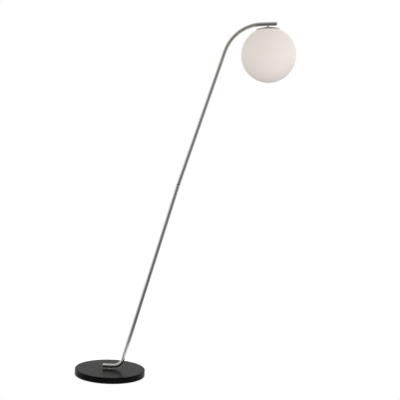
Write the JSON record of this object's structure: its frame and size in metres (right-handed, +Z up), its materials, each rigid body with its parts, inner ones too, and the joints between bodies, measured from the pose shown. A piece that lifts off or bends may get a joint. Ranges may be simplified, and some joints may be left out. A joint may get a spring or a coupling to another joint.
{
  "type": "arc floor lamp",
  "caption": "Floor lamp: a heavy round base, a leaning two-section tube pole that arcs over at the top, and an opal glass globe hanging from a shallow metal cap.",
  "frame": {"origin": "centre of the base's underside, on the floor", "axes": "+Z up, +X along the arc from the base towards the globe, +Y across it towards the cable gland in the rear of the rim"},
  "size_m": [0.869, 0.302, 1.5406],
  "materials": {
    "cover_black": "satin black enamel, fine texture",
    "cast_iron": "as cast, machined on the pocket and bore",
    "zinc_steel": "zinc plated",
    "satin_nickel": "satin nickel plate, faint lengthwise brushing",
    "joint_black": "dark joint ring",
    "pad_foam": "closed-cell foam",
    "nylon": "natural nylon",
    "gland_black": "moulded",
    "brass": "plain",
    "silicone": "translucent white",
    "holder_black": "moulded",
    "porcelain": "glazed porcelain",
    "opal_glass": "opal, satin outside",
    "bulb_glass": "black glass insulator",
    "bulb_white": "white housing",
    "bulb_frost": "frosted diffuser",
    "brown_insulation": "wire insulation",
    "blue_insulation": "wire insulation",
    "earth_insulation": "wire insulation"
  },
  "bodies": {
    "base": {"floor_pad": "pad_foam", "bottom_plate": "zinc_steel", "plate_screws": "zinc_steel", "base_weight": "cast_iron", "base_cover": "cover_black", "pivot_bush": "nylon", "friction_washer": "nylon", "stop_pin": "zinc_steel", "cord_gland": "gland_black"},
    "globe": {"globe": "opal_glass"},
    "bulb": {"bulb_contact": "brass", "bulb_insulator": "bulb_glass", "bulb_shell": "brass", "bulb_housing": "bulb_white", "bulb_dome": "bulb_frost"},
    "pole": {"spring_washer": "zinc_steel", "terminal_bracket": "zinc_steel", "stud_nut": "zinc_steel", "pole_stud": "zinc_steel", "joint_screws": "zinc_steel", "cap_nut": "zinc_steel", "gallery_plate": "zinc_steel", "globe_springs": "zinc_steel", "spring_rivets": "zinc_steel", "joint_spigot": "zinc_steel", "stud_insert": "zinc_steel", "stem_insert": "zinc_steel", "lower_tube": "satin_nickel", "upper_tube": "satin_nickel", "tail_cap": "satin_nickel", "tip_cap": "satin_nickel", "stud_collar": "satin_nickel", "stem_nipple": "satin_nickel", "globe_cap": "satin_nickel", "joint_ring": "joint_black", "terminal_block": "nylon", "terminal_sleeves": "brass", "terminal_screws": "brass", "screw_shell": "brass", "centre_contact": "brass", "seat_gasket": "silicone", "holder_dome": "holder_black", "holder_body": "holder_black", "holder_insert": "porcelain", "live_wire": "brown_insulation", "neutral_wire": "blue_insulation", "earth_wire": "earth_insulation"}
  },
  "joints": [
    {"name": "pole_swivel", "type": "hinge", "parent": "base", "child": "pole", "pos_m": [0, 0, 0.026], "axis": [0, 0, 1], "range_deg": [-150, 150]},
    {"name": "globe_drop", "type": "slide", "parent": "pole", "child": "globe", "axis": [0.0872, 0, -0.9962], "range_m": [0, 0.17]},
    {"name": "bulb_withdraw", "type": "slide", "parent": "pole", "child": "bulb", "axis": [0.0872, 0, -0.9962], "range_m": [0, 0.06]}
  ]
}
